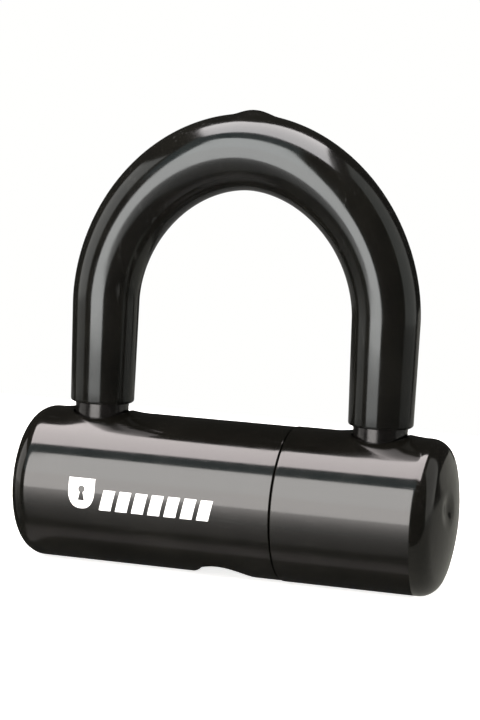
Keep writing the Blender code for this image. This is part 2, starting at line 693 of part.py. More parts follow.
make_shackle_bar()
make_shackle_sleeve()
make_left_cover()
make_right_cover()
make_crossbar_tube()
for side_name, side in (("left", -1), ("right", 1)):
    make_end_plug(f"{side_name}_end_plug", side)
    make_roll_pin(f"{side_name}_end_plug_pin", END_PIN_RADIUS, side * END_PIN_X)
    make_roll_pin(f"{side_name}_chassis_pin", CHASSIS_PIN_RADIUS, side * CHASSIS_PIN_X)
make_chassis_lower()
make_chassis_upper()
for index, screw_place in enumerate(screw_places(), 1):
    make_chassis_screw(index, screw_place)
make_cylinder_shell()
make_chamber_cover()
make_plug()
make_plug_clip()
make_cam()
make_bolt("right_bolt", 0.0)
make_bolt("left_bolt", math.pi)
for index, (chamber_height, key_pin_length) in enumerate(zip(CHAMBER_HEIGHTS, KEY_PIN_LENGTHS), 1):
    make_key_pin(index, chamber_height, key_pin_length)
    make_driver_pin(index, chamber_height)
    make_driver_spring(index, chamber_height)
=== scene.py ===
"""The looks of a mini U-lock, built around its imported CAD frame.

A rubber sleeved shackle and two moulded covers, all glossy black, stand for the plain CAD solids.
The tube, the pins and the springs inside them are remade too. The other inner pieces keep their
CAD shape, shaded smooth, and get a machined or cast metal finish. Sizes come from the frame's
boxes or are named here, in metres, and a height is measured from the floor.
"""

import math

import bmesh
import bpy
from mathutils import Matrix, Vector


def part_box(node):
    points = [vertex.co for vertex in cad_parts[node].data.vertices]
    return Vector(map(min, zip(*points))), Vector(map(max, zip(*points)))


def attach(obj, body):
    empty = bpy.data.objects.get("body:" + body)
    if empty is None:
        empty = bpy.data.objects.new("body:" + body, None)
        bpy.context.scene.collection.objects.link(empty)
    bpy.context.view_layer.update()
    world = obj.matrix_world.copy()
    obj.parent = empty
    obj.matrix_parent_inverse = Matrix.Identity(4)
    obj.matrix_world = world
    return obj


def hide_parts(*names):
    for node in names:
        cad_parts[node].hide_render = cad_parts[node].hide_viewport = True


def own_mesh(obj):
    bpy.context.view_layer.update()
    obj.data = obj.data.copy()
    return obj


MM = 0.001
QUARTER = math.pi / 2

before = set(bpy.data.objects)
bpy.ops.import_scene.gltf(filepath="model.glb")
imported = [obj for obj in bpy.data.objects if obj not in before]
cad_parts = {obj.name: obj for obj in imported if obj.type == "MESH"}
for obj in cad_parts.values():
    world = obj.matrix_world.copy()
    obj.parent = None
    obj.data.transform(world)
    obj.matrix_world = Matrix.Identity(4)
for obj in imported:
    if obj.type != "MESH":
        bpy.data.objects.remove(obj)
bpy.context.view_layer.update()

# ---------------------------------------------------------------- sizes from the frame

right_low, right_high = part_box("right_cover")
left_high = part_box("left_cover")[1]
bar_low, bar_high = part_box("shackle_bar")
sleeve_low, sleeve_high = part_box("shackle_sleeve")
tube_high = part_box("crossbar_tube")[1]

AXIS = (right_low.z + right_high.z) / 2  # height of the crossbar's axis
COVER_END = right_high.x
RIGHT_RADIUS, RIGHT_SEAM = right_high.y, right_low.x
LEFT_RADIUS, LEFT_SEAM = left_high.y, left_high.x
BAR_RADIUS = bar_high.y
LEG_X = bar_high.x - BAR_RADIUS
CROWN = bar_high.z - BAR_RADIUS  # height of the crown's centreline
SLEEVE_TOP_RADIUS = sleeve_high.y
TUBE_RADIUS, TUBE_END = tube_high.y, tube_high.x

# Shackle: its legs run straight up to ARCH_START, and a superellipse joins them.
ARCH_START = AXIS + 45.3 * MM
ARCH_POWER = 1.921
BAR_POINT = 2.0 * MM  # length of the bevel at the bar's ends
NOTCH_LOW, NOTCH_HIGH, NOTCH_DEPTH = AXIS + 5.1 * MM, AXIS + 10.9 * MM, 4.6 * MM
SLEEVE_RADIUS_LOW, SLEEVE_RADIUS_MID = 7.75 * MM, 8.1 * MM
SLEEVE_BORE = 6.8 * MM
SLEEVE_ROUNDING = 0.75 * MM
SLEEVE_SIDES, SLEEVE_ARCH_STEPS, SLEEVE_BORE_STEPS = 88, 150, 60
SLEEVE_BORE_LEG = 4.0 * MM  # how far up the bore's legs their second ring lies
BAR_SIDES, BAR_ARCH_STEPS = 80, 60
BUMP_X, BUMP_HALF_LENGTH, BUMP_HALF_WIDTH, BUMP_HEIGHT = 0.5 * MM, 4.0 * MM, 3.2 * MM, 0.9 * MM

# Covers and what shows through their openings.
COVER_INSIDE = 16.6 * MM
COVER_END_WALL = 3.5 * MM
END_FILLET, END_DOME = 5.0 * MM, 54.2 * MM
INSIDE_FILLET, INSIDE_DOME = 2.0 * MM, 400 * MM
SEAM_ROUNDING = 0.25 * MM
LEG_HOLE, LEG_HOLE_EDGE = 6.9 * MM, 0.8 * MM
COLLAR_INSIDE, COLLAR_OUTSIDE, COLLAR_HEIGHT = 7.0 * MM, 12.0 * MM, 0.5 * MM
KEY_OPENING_X, KEY_OPENING_RADIUS, KEY_OPENING_OFFSET = -0.6 * MM, 7.6 * MM, 3.0 * MM
KEY_OPENING_EDGE = 0.35 * MM
DIMPLE_Y, DIMPLE_Z = -5.0 * MM, AXIS + 3.1 * MM
DIMPLE_RADIUS, DIMPLE_DEPTH = 5.2 * MM, 0.75 * MM
TUBE_INSIDE = 13.7 * MM
TUBE_LEG_HOLE, TUBE_KEY_HOLE = 6.8 * MM, 5.6 * MM
PIN_HOLE_GAP = 0.3 * MM  # between a pin and its hole in the tube


# ---------------------------------------------------------------- meshes


class Solid:
    """Collects the points and faces of one closed mesh, row by row."""

    def __init__(self):
        self.points = []
        self.faces = []

    def row(self, points):
        start = len(self.points)
        self.points.extend(points)
        return list(range(start, len(self.points)))

    def bridge(self, first, second):
        """A closed band of quads between two rings of as many points."""
        count = len(first)
        for i in range(count):
            j = (i + 1) % count
            self.faces.append((first[i], first[j], second[j], second[i]))

    def fan(self, ring, tip):
        centre = self.row([tip])[0]
        for i, point in enumerate(ring):
            self.faces.append((point, ring[(i + 1) % len(ring)], centre))

    def build(self, name, finish, sharp=38):
        """The finished object. Edges sharper than the given angle, in degrees, stay crisp."""
        mesh = bpy.data.meshes.new(name)
        mesh.from_pydata(self.points, [], self.faces)
        shape = bmesh.new()
        shape.from_mesh(mesh)
        bmesh.ops.recalc_face_normals(shape, faces=shape.faces)
        shape.to_mesh(mesh)
        shape.free()
        return as_piece(bpy.data.objects.new(name, mesh), finish, sharp)


def as_piece(obj, finish, sharp=38):
    bpy.context.scene.collection.objects.link(obj)
    obj.data.materials.clear()
    obj.data.materials.append(finish)
    obj.data.shade_smooth()
    obj.data.set_sharp_from_angle(angle=math.radians(sharp))
    return obj


def steps(low, high, spacing):
    """Evenly spaced values from low to high, both included."""
    count = max(1, math.ceil(abs(high - low) / spacing))
    return [low + (high - low) * i / count for i in range(count + 1)]


def arc(count):
    """Angles of a quarter turn, both ends included."""
    return [QUARTER * i / count for i in range(count + 1)]


def circle(radius, sides):
    turns = [2 * math.pi * i / sides for i in range(sides)]
    return [(radius * math.cos(turn), radius * math.sin(turn)) for turn in turns]


# ---------------------------------------------------------------- finishes


class Finish:
    """A Principled material whose colour, roughness and bump come from textures in object space."""

    def __init__(self, name, metallic=0.0, ior=1.5):
        self.material = bpy.data.materials.new(name)
        self.material.use_nodes = True
        self.tree = self.material.node_tree
        self.shader = self.tree.nodes["Principled BSDF"]
        self.shader.inputs["Metallic"].default_value = metallic
        self.shader.inputs["IOR"].default_value = ior
        self.place = self.tree.nodes.new("ShaderNodeTexCoord").outputs["Object"]
        self.normal = None

    def node(self, kind, inputs=(), **settings):
        made = self.tree.nodes.new(kind)
        for key, value in settings.items():
            setattr(made, key, value)
        for key, value in dict(inputs).items():
            if isinstance(value, bpy.types.NodeSocket):
                self.tree.links.new(value, made.inputs[key])
            else:
                made.inputs[key].default_value = value
        return made

    def scaled(self, size, stretch=(1, 1, 1)):
        """Object coordinates in units of size, stretched along an axis by a factor over 1."""
        scale = [1 / (size * factor) for factor in stretch]
        return self.node("ShaderNodeMapping", {"Vector": self.place, "Scale": scale}).outputs[0]

    def noise(self, size, stretch=(1, 1, 1), detail=2.0):
        inputs = {"Vector": self.scaled(size, stretch), "Scale": 1.0, "Detail": detail}
        return self.node("ShaderNodeTexNoise", inputs).outputs["Fac"]

    def grains(self, size):
        inputs = {"Vector": self.scaled(size), "Scale": 1.0}
        return self.node("ShaderNodeTexVoronoi", inputs).outputs["Distance"]

    def rings(self, size):
        """Fine rings about the plug's upright axis, like the marks of a lathe."""
        inputs = {"Vector": self.place, "Scale": 1 / size, "Distortion": 0.4, "Detail": 1.0}
        wave = self.node("ShaderNodeTexWave", inputs, wave_type="RINGS", rings_direction="Z")
        return wave.outputs["Fac"]

    def lines(self, size, axis):
        """Fine parallel lines across an axis, a little uneven."""
        inputs = {"Vector": self.place, "Scale": 1 / size, "Distortion": 1.5, "Detail": 2.0}
        wave = self.node("ShaderNodeTexWave", inputs, wave_type="BANDS", bands_direction=axis)
        return wave.outputs["Fac"]

    def between(self, value, low, high, start=0.3, end=0.7):
        """The value, from start to end, mapped to low to high."""
        inputs = {"Value": value, "From Min": start, "From Max": end, "To Min": low, "To Max": high}
        return self.node("ShaderNodeMapRange", inputs).outputs["Result"]

    def product(self, first, second):
        return self.node("ShaderNodeMath", {0: first, 1: second}, operation="MULTIPLY").outputs[0]

    def colours(self, value, low, high, start=0.3, end=0.7):
        """A colour from low to high as the value goes from start to end."""
        ramp = self.node("ShaderNodeValToRGB", {"Fac": value})
        first, last = ramp.color_ramp.elements
        first.position, last.position = start, end
        first.color, last.color = (*low, 1.0), (*high, 1.0)
        return ramp.outputs["Color"]

    def blend(self, share, first, second):
        mix = self.node("ShaderNodeMix", {"Factor": share, "A": first, "B": second}, data_type="FLOAT")
        return mix.outputs["Result"]

    def blend_colours(self, share, first, second):
        made = self.tree.nodes.new("ShaderNodeMix")
        made.data_type = "RGBA"
        sockets = [s for s in made.inputs if s.enabled]
        for socket, value in zip(sockets, (share, first, second)):
            self.tree.links.new(value, socket)
        return next(s for s in made.outputs if s.enabled)

    def set(self, name, socket):
        self.tree.links.new(socket, self.shader.inputs[name])

    def relief(self, height, depth):
        """Adds a relief of that depth, in metres, to the surface."""
        inputs = {"Height": height, "Distance": depth, "Strength": 1.0}
        if self.normal:
            inputs["Normal"] = self.normal
        self.normal = self.node("ShaderNodeBump", inputs).outputs["Normal"]
        self.tree.links.new(self.normal, self.shader.inputs["Normal"])


HAIR_DARK, HAIR_LIGHT = (0.005, 0.005, 0.0047), (0.018, 0.018, 0.017)


def scuffs(finish, size, stretch):
    """A mask of sparse fine hairlines, from 0 on clean surface to 1 on a line."""
    hair = finish.between(finish.noise(size, stretch, detail=1.0), 0.0, 1.0, 0.66, 0.72)
    patches = finish.between(finish.noise(14 * MM, detail=1.0), 0.0, 1.0, 0.52, 0.62)
    return finish.product(hair, patches)


def glossy_black(name, dark, light, smooth, rough, waviness, ior=1.5, hair_stretch=(60, 6, 1)):
    """Near-black gloss with a slight waviness, faint orange peel and sparse hairlines."""
    finish = Finish(name, ior=ior)
    tone = finish.noise(9 * MM, detail=4.0)
    hairs = scuffs(finish, 0.12 * MM, hair_stretch)
    scratched = finish.colours(tone, HAIR_DARK, HAIR_LIGHT)
    finish.set("Base Color", finish.blend_colours(hairs, finish.colours(tone, dark, light), scratched))
    polish = finish.between(finish.noise(5 * MM, detail=5.0), smooth, rough)
    raised = finish.between(hairs, 0.0, 0.10, 0.0, 1.0)
    finish.set("Roughness", finish.node("ShaderNodeMath", {0: polish, 1: raised}).outputs[0])
    finish.relief(finish.noise(12 * MM, detail=1.0), waviness)
    finish.relief(finish.noise(0.9 * MM, detail=2.0), waviness / 25)
    finish.relief(hairs, 0.4e-6)
    return finish


def make_rubber():
    finish = glossy_black(
        "sleeve_black_rubber",
        dark=(0.0025, 0.0024, 0.0020),
        light=(0.0045, 0.0043, 0.0035),
        smooth=0.10,
        rough=0.16,
        waviness=22e-6,
        hair_stretch=(6, 6, 60),
    )
    finish.shader.inputs["Specular Tint"].default_value = (0.92, 0.98, 1.0, 1.0)
    return finish.material


def make_plastic():
    return glossy_black(
        "cover_black_plastic",
        dark=(0.0025, 0.0024, 0.0019),
        light=(0.0042, 0.0040, 0.0032),
        smooth=0.08,
        rough=0.13,
        waviness=14e-6,
    ).material


def make_bar_coating():
    """Black coating on the bar, rubbed through to steel at its ends."""
    finish = Finish("shackle_black_oxide", ior=1.62)
    height = finish.node("ShaderNodeSeparateXYZ", {"Vector": finish.place}).outputs["Z"]
    low = finish.between(height, 1.0, 0.0, bar_low.z + BAR_POINT, bar_low.z + 3 * BAR_POINT)
    patches = finish.between(finish.noise(0.5 * MM, (1, 1, 5), detail=4.0), 0.0, 1.0, 0.56, 0.68)
    worn = finish.product(low, patches)
    tone = finish.noise(4 * MM, detail=4.0)
    coat = finish.colours(tone, (0.0024, 0.0022, 0.0020), (0.0050, 0.0045, 0.0042))
    steel = finish.colours(finish.noise(0.5 * MM, (1, 1, 6)), (0.10, 0.10, 0.10), (0.22, 0.21, 0.20))
    finish.set("Base Color", finish.blend_colours(worn, coat, steel))
    finish.set("Metallic", worn)
    gloss = finish.between(finish.noise(3 * MM, detail=5.0), 0.14, 0.24)
    finish.set("Roughness", finish.blend(worn, gloss, 0.38))
    finish.relief(finish.noise(8 * MM, detail=1.0), 10e-6)
    finish.relief(finish.lines(0.18 * MM, "Z"), 0.5e-6)
    finish.relief(worn, -4e-6)
    return finish.material


def make_machined_steel(name, colour, axis, size):
    """Turned or ground steel with fine lines across an axis, oil stains and a few dull spots."""
    finish = Finish(name, metallic=1.0)
    stains = finish.noise(3.5 * MM, detail=6.0)
    dark = tuple(0.84 * c for c in colour)
    finish.set("Base Color", finish.colours(stains, dark, colour, 0.35, 0.6))
    finish.set("Roughness", finish.between(finish.noise(1.2 * MM, detail=3.0), 0.27, 0.38))
    finish.relief(finish.lines(size, axis), 1.5e-6)
    finish.relief(finish.noise(0.25 * MM), 2e-6)
    return finish.material


def make_phosphated_steel():
    """Hardened steel under a dark grey phosphate skin, rubbed lighter in places."""
    finish = Finish("tube_dark_phosphate", metallic=0.6)
    rubbed = finish.noise(5 * MM, (3, 1, 1), detail=5.0)
    dark, light = (0.014, 0.014, 0.013), (0.045, 0.045, 0.042)
    finish.set("Base Color", finish.colours(rubbed, dark, light, 0.35, 0.7))
    finish.set("Roughness", finish.between(finish.noise(0.7 * MM, detail=4.0), 0.42, 0.6))
    finish.relief(finish.noise(0.12 * MM, detail=3.0), 3e-6)
    return finish.material


def make_cast_zinc():
    """Die cast zinc: a dull skin with fine grain, soft flow marks, and pores that sink a little and are
    darkened with painted shade.
    """
    finish = Finish("chassis_cast_zinc", metallic=1.0)
    flow = finish.noise(6 * MM, (3, 1, 1), detail=5.0)
    skin = finish.colours(flow, (0.30, 0.30, 0.31), (0.46, 0.46, 0.47))
    pores = finish.between(finish.grains(0.9 * MM), 1.0, 0.0, 0.06, 0.14)
    # Painted shade: the pores get a much darker colour, for the shade that falls inside them.
    painted_pore_shade = finish.colours(flow, (0.1, 0.1, 0.1), (0.16, 0.16, 0.16))
    finish.set("Base Color", finish.blend_colours(pores, skin, painted_pore_shade))
    finish.set("Roughness", finish.between(finish.noise(0.8 * MM, detail=4.0), 0.42, 0.62))
    finish.relief(finish.noise(0.35 * MM, detail=4.0), 12e-6)
    finish.relief(pores, -15e-6)
    return finish.material


def make_brass(name, turned=False):
    """Brass with warm and dull patches, and the marks of a lathe or of drawing."""
    finish = Finish(name, metallic=1.0)
    patches = finish.noise(2.2 * MM, detail=6.0)
    finish.set("Base Color", finish.colours(patches, (0.58, 0.40, 0.17), (0.76, 0.56, 0.27), 0.32, 0.62))
    finish.set("Roughness", finish.between(finish.noise(0.9 * MM, detail=3.0), 0.25, 0.38))
    if turned:
        finish.relief(finish.rings(0.22 * MM), 1.5e-6)
    else:
        finish.relief(finish.lines(0.15 * MM, "X"), 2e-6)
    finish.relief(finish.noise(0.3 * MM), 2e-6)
    return finish.material


def make_print():
    """White pad-printed ink: even, a little chalky, with a trace of the surface below."""
    finish = Finish("white_print_ink", ior=1.45)
    tone = finish.noise(1.5 * MM, detail=5.0)
    finish.set("Base Color", finish.colours(tone, (0.78, 0.78, 0.76), (0.86, 0.86, 0.85)))
    finish.set("Roughness", finish.between(finish.noise(0.6 * MM, detail=4.0), 0.38, 0.55))
    finish.relief(finish.noise(0.2 * MM, detail=3.0), 2e-6)
    return finish.material


# ---------------------------------------------------------------- shackle


def arch_point(angle):
    """A point (x, z) of the crown's centreline, by its angle from the right leg."""
    power = 2 / ARCH_POWER
    across = math.copysign(abs(math.cos(angle)) ** power, math.cos(angle))
    rise = abs(math.sin(angle)) ** power
    return Vector((LEG_X * across, ARCH_START + (CROWN - ARCH_START) * rise))


def arch_outward(angle, nudge=1e-4):
    """The centreline's normal (x, z) there, away from the middle of the U."""
    along = arch_point(angle + nudge) - arch_point(angle - nudge)
    return Vector((along.y, -along.x)).normalized()


def shackle_ring(centre, outward, radius, sides, swell=None):
    """A ring about a point of the centreline. It starts on the outside of the U."""
    ring = []
    for i in range(sides):
        turn = 2 * math.pi * i / sides
        side = math.sin(turn)
        point = Vector((outward.x * math.cos(turn), side, outward.y * math.cos(turn)))
        reach = radius + (swell(centre, turn, radius) if swell else 0.0)
        ring.append(Vector((centre.x, 0, centre.y)) + reach * point)
    return ring


def shackle_rings(legs, crown_radius, arch_steps, sides, swell=None):
    """Rings from the right leg's lower end over the crown to the left leg's.

    Legs lists (height, radius) from the bottom up, and crown_radius gives a radius by angle.
    """
    rings = []
    for height, radius in legs:
        rings.append(shackle_ring(Vector((LEG_X, height)), Vector((1, 0)), radius, sides))
    for i in range(arch_steps + 1):
        angle = math.pi * i / arch_steps
        outward = arch_outward(min(max(angle, 0.001), math.pi - 0.001))
        rings.append(shackle_ring(arch_point(angle), outward, crown_radius(angle), sides, swell))
    for height, radius in reversed(legs):
        # Turned so that the first point stays on the outside of the U.
        rings.append(shackle_ring(Vector((-LEG_X, height)), Vector((-1, 0)), radius, sides))
    return rings


def sleeve_radius(angle):
    thickening = SLEEVE_TOP_RADIUS - SLEEVE_RADIUS_MID
    return SLEEVE_RADIUS_MID + thickening * math.sin(angle) ** 2


def gate_bump(centre, turn, radius):
    """The low moulding bump on top of the crown."""
    if centre.y < ARCH_START:
        return 0.0
    aside = radius * math.sin(turn)
    away = math.hypot((centre.x - BUMP_X) / BUMP_HALF_LENGTH, aside / BUMP_HALF_WIDTH)
    if away >= 1 or math.cos(turn) < 0 or centre.y < CROWN - SLEEVE_TOP_RADIUS:
        return 0.0
    return BUMP_HEIGHT * (1 - away**2) ** 1.5


def make_sleeve(finish):
    end = sleeve_low.z
    rounding = [
        (end + SLEEVE_ROUNDING * (1 - math.cos(a)), SLEEVE_RADIUS_LOW - SLEEVE_ROUNDING * (1 - math.sin(a)))
        for a in arc(6)
    ]
    start = rounding[-1][0]
    growth = SLEEVE_RADIUS_MID - SLEEVE_RADIUS_LOW
    straight = [
        (height, SLEEVE_RADIUS_LOW + growth * (height - start) / (ARCH_START - start))
        for height in steps(start, ARCH_START, 2 * MM)[1:-1]
    ]
    solid = Solid()
    legs = rounding + straight
    outside = shackle_rings(legs, sleeve_radius, SLEEVE_ARCH_STEPS, SLEEVE_SIDES, gate_bump)
    bore_legs = [(end, SLEEVE_BORE), (end + SLEEVE_BORE_LEG, SLEEVE_BORE)]
    inside = shackle_rings(bore_legs, lambda angle: SLEEVE_BORE, SLEEVE_BORE_STEPS, SLEEVE_SIDES)
    rows = [solid.row(ring) for ring in outside + inside[::-1]]
    for first, second in zip(rows, rows[1:] + rows[:1]):
        solid.bridge(first, second)
    return solid.build("shackle_sleeve_moulded", finish)


def bar_leg():
    """(height, radius) of a leg from its bevelled end up to below the arch, close set at the notch."""
    bevel = (0, 0.08, 0.92)
    tip = [(bar_low.z + BAR_POINT * share, BAR_RADIUS - BAR_POINT * (1 - share)) for share in bevel]
    edge = 0.12 * MM  # between a sharp edge and the ring that keeps its shading crisp
    heights = [bar_low.z + BAR_POINT + edge]
    heights += steps(bar_low.z + 1.5 * BAR_POINT, NOTCH_LOW - edge, 3 * MM)
    heights += [NOTCH_LOW, NOTCH_LOW + edge]
    heights += steps(NOTCH_LOW + 4 * edge, NOTCH_HIGH - 4 * edge, 2 * MM)
    heights += [NOTCH_HIGH - edge, NOTCH_HIGH]
    heights += steps(NOTCH_HIGH + edge, ARCH_START - 1 * MM, 4 * MM)
    return tip + [(height, BAR_RADIUS) for height in heights]


def notched(point):
    """The point, pushed in to the notch's flat wall where it lies in a leg's notch."""
    wall = LEG_X - BAR_RADIUS + NOTCH_DEPTH
    if NOTCH_LOW < point.z < NOTCH_HIGH and abs(point.x) < wall:
        return Vector((math.copysign(wall, point.x), point.y, point.z))
    return point


def make_bar(finish):
    solid = Solid()
    rings = shackle_rings(bar_leg(), lambda angle: BAR_RADIUS, BAR_ARCH_STEPS, BAR_SIDES)
    rows = [solid.row([notched(point) for point in ring]) for ring in rings]
    for first, second in zip(rows, rows[1:]):
        solid.bridge(first, second)
    for row, side in ((rows[0], 1), (rows[-1], -1)):
        solid.fan(row, Vector((side * LEG_X, 0, bar_low.z)))
    return solid.build("shackle_bar_coated", finish, sharp=30)


# ---------------------------------------------------------------- round skins with openings

AROUND = 192  # points round a cover or the tube
SKIN_SPACING, TUBE_SPACING = 1.0 * MM, 2.0 * MM
# The patch about an opening: its half length, and its half width in points round the skin.
LEG_PATCH, KEY_PATCH = (10.8 * MM, 17), (10.4 * MM, 24)
TUBE_PATCH_MARGIN, PIN_PATCH_MARGIN = 2.2 * MM, 0.5 * MM  # about the tube's openings
# Steps along a cover's end fillet, and the space between the rows of its dome.
OUTER_END, INNER_END = (14, 0.4 * MM), (4, 3 * MM)
DOME_TIP = 0.3 * MM  # radius of a dome's last row


class Opening:
    """An opening through a round skin.

    It is centred at x, with its axis turned from straight up towards the front. Half_length and
    half_steps say how far along X, and over how many points round the skin, the mesh is remade
    about it. Its outline comes apart from it, as a function from a direction to a reach.
    """

    def __init__(self, x, turn, half_length, half_steps):
        self.x, self.turn = x, turn
        self.half_length, self.half_steps = half_length, half_steps
        self.middle = round(turn / (2 * math.pi) * AROUND)

    def ends(self):
        return self.x - self.half_length, self.x + self.half_length

    def place(self, radius, aim, reach, drop=0.0):
        """A point over the skin of that radius, at a reach in a direction, sunk by drop."""
        across = reach * math.sin(aim)
        out = math.sqrt(radius**2 - across**2) - drop
        c, s = math.cos(self.turn), math.sin(self.turn)
        y, z = -(out * s + across * c), AXIS + out * c - across * s
        return Vector((self.x + reach * math.cos(aim), y, z))


def skin_point(x, radius, index):
    turn = 2 * math.pi * index / AROUND
    return Vector((x, -radius * math.sin(turn), AXIS + radius * math.cos(turn)))


def stations(low, high, openings, spacing):
    """X values along a skin, with one on each end of every opening's patch."""
    marks = {low, high}
    for opening in openings:
        marks.update(opening.ends())
    marks = sorted(marks)
    values = [low]
    for first, second in zip(marks, marks[1:]):
        values += steps(first, second, spacing)[1:]
    return values


def round_skin(solid, radius, xs, openings, reaches, aims=None, rings=5):
    """A skin along X with patches about its openings.

    Returns its two end rows and, for each opening, its rim and the directions of the rim's points.
    Given aims, the rims use those directions, so that they match another skin's.
    """
    patches = []
    skipped = set()
    for opening in openings:
        first, last = (min(range(len(xs)), key=lambda i: abs(xs[i] - end)) for end in opening.ends())
        low, high = opening.middle - opening.half_steps, opening.middle + opening.half_steps
        patches.append((first, last, low, high))
        for i in range(first + 1, last):
            skipped.update((i, k % AROUND) for k in range(low + 1, high))
    index = {}
    for i, x in enumerate(xs):
        for k in range(AROUND):
            if (i, k) not in skipped:
                index[i, k] = solid.row([skin_point(x, radius, k)])[0]
    covered = set()
    for first, last, low, high in patches:
        covered.update((i, k % AROUND) for i in range(first, last) for k in range(low, high))
    for i in range(len(xs) - 1):
        for k in range(AROUND):
            if (i, k) not in covered:
                corners = ((i, k), (i, (k + 1) % AROUND), (i + 1, (k + 1) % AROUND), (i + 1, k))
                solid.faces.append(tuple(index[corner] for corner in corners))
    rims = []
    for number, (opening, (first, last, low, high)) in enumerate(zip(openings, patches)):
        walk = [(i, low) for i in range(first, last)] + [(last, k) for k in range(low, high)]
        walk += [(i, high) for i in range(last, first, -1)] + [(first, k) for k in range(high, low, -1)]
        row = [index[i, k % AROUND] for i, k in walk]
        flat = []
        for i, k in walk:
            across = radius * math.sin(2 * math.pi * (k - opening.middle) / AROUND)
            flat.append(Vector((xs[i] - opening.x, across)))
        chosen = aims[number] if aims else [math.atan2(point.y, point.x) for point in flat]
        rim = [Vector((math.cos(a), math.sin(a))) * reaches[number](a) for a in chosen]
        for ring in range(1, rings + 1):
            share = ring / rings
            points = [point.lerp(target, share) for point, target in zip(flat, rim)]
            placed = [
                opening.place(radius, math.atan2(point.y, point.x), point.length) for point in points
            ]
            following = solid.row(placed)
            solid.bridge(row, following)
            row = following
        rims.append((row, chosen))
    ends = [[index[i, k] for k in range(AROUND)] for i in (0, len(xs) - 1)]
    return ends, rims


def turned_row(solid, x, radius):
    return solid.row([skin_point(x, radius, k) for k in range(AROUND)])


def obround(radius, offset, aim):
    """The reach of an outline with two round ends, offset across X."""
    c, s = abs(math.cos(aim)), abs(math.sin(aim))
    if s * radius <= c * offset:
        return radius / c
    return offset * s + math.sqrt(max(radius**2 - (offset * c) ** 2, 0.0))


def dimpled(point):
    """The point of the right cover's end, sunk where the shallow round dimple lies."""
    away = math.hypot(point.y - DIMPLE_Y, point.z - DIMPLE_Z)
    share = max(1 - away / DIMPLE_RADIUS, 0.0)
    return point - Vector((DIMPLE_DEPTH * share**2 * (3 - 2 * share), 0, 0))


def collared(point):
    """The point of a cover's outside, raised where the low collar round its leg hole lies."""
    away = math.hypot(abs(point.x) - LEG_X, point.y)
    share = min(max((COLLAR_OUTSIDE - away) / (COLLAR_OUTSIDE - COLLAR_INSIDE), 0.0), 1.0)
    return point + Vector((0, 0, COLLAR_HEIGHT * share**2 if point.z > AXIS else 0.0))


def dome_meeting(radius, fillet, dome):
    """The angle, at the dome's centre, where the dome meets the fillet."""
    return math.asin((radius - fillet) / (dome - fillet))


def fillet_start(radius, fillet, dome, end):
    return end - dome + (dome - fillet) * math.cos(dome_meeting(radius, fillet, dome))


def cover_end(solid, row, radius, fillet, dome, end, detail, sink=None):
    """Closes a skin with a fillet and a shallow dome, both tangent to each other."""
    count, spacing = detail
    centre = end - dome
    meeting = dome_meeting(radius, fillet, dome)
    fillet_x = fillet_start(radius, fillet, dome, end)
    outline = []
    for i in range(1, count + 1):
        angle = QUARTER - (QUARTER - meeting) * i / count
        outline.append((fillet_x + fillet * math.cos(angle), radius - fillet + fillet * math.sin(angle)))
    dome_edge = dome * math.sin(meeting)
    for rim in steps(dome_edge, DOME_TIP, spacing)[1:]:
        outline.append((centre + math.sqrt(dome**2 - rim**2), rim))
    for x, reach in outline:
        following = turned_row(solid, x, reach)
        if sink:
            for i in following:
                solid.points[i] = sink(solid.points[i])
        solid.bridge(row, following)
        row = following
    solid.fan(row, Vector((end, 0, AXIS)))


def make_cover(name, finish, radius, seam, openings, sink=None):
    """A moulded cup that opens at the seam and closes at COVER_END, both given along +X.

    Openings lists, for each, its Opening, its mouth's and its hole's outline, and the depth of
    the rounded edge between these two. Sink moves the points of the outer end.
    """
    solid = Solid()
    inside_end = COVER_END - COVER_END_WALL
    outer_stop = fillet_start(radius, END_FILLET, END_DOME, COVER_END)
    inner_stop = fillet_start(COVER_INSIDE, INSIDE_FILLET, INSIDE_DOME, inside_end)
    places, mouths, holes, _ = zip(*openings)

    xs = stations(seam + SEAM_ROUNDING, outer_stop, places, SKIN_SPACING)
    (first, last), rims = round_skin(solid, radius, xs, places, mouths)
    cover_end(solid, last, radius, END_FILLET, END_DOME, COVER_END, OUTER_END, sink)
    solid.points = [collared(point) for point in solid.points]

    inner_xs = stations(seam, inner_stop, places, SKIN_SPACING)
    aims = [chosen for _, chosen in rims]
    (inner_first, inner_last), inner_rims = round_skin(
        solid, COVER_INSIDE, inner_xs, places, holes, aims, rings=3
    )
    cover_end(solid, inner_last, COVER_INSIDE, INSIDE_FILLET, INSIDE_DOME, inside_end, INNER_END)

    row = first
    for angle in arc(5)[1:]:
        x = seam + SEAM_ROUNDING * (1 - math.sin(angle))
        following = turned_row(solid, x, radius - SEAM_ROUNDING * (1 - math.cos(angle)))
        solid.bridge(row, following)
        row = following
    solid.bridge(row, inner_first)

    for (opening, mouth, hole, drop), (row, chosen), (inner_row, _) in zip(openings, rims, inner_rims):
        for angle in arc(8)[1:]:
            reaches = [mouth(a) - (mouth(a) - hole(a)) * math.sin(angle) for a in chosen]
            sunk = drop * (1 - math.cos(angle))
            edge = [opening.place(radius, a, reach, sunk) for a, reach in zip(chosen, reaches)]
            following = solid.row([collared(point) for point in edge])
            solid.bridge(row, following)
            row = following
        solid.bridge(row, inner_row)
    return solid.build(name, finish)


def leg_opening(x):
    opening = Opening(x, 0.0, *LEG_PATCH)
    return opening, lambda aim: LEG_HOLE + LEG_HOLE_EDGE, lambda aim: LEG_HOLE, LEG_HOLE_EDGE


def key_opening(x):
    """The opening under the keyway. Its edge is rounded a little."""
    opening = Opening(x, math.pi, *KEY_PATCH)
    edge = KEY_OPENING_EDGE

    def mouth(aim):
        return obround(KEY_OPENING_RADIUS + edge, KEY_OPENING_OFFSET, aim)

    def hole(aim):
        return obround(KEY_OPENING_RADIUS, KEY_OPENING_OFFSET, aim)

    return opening, mouth, hole, edge


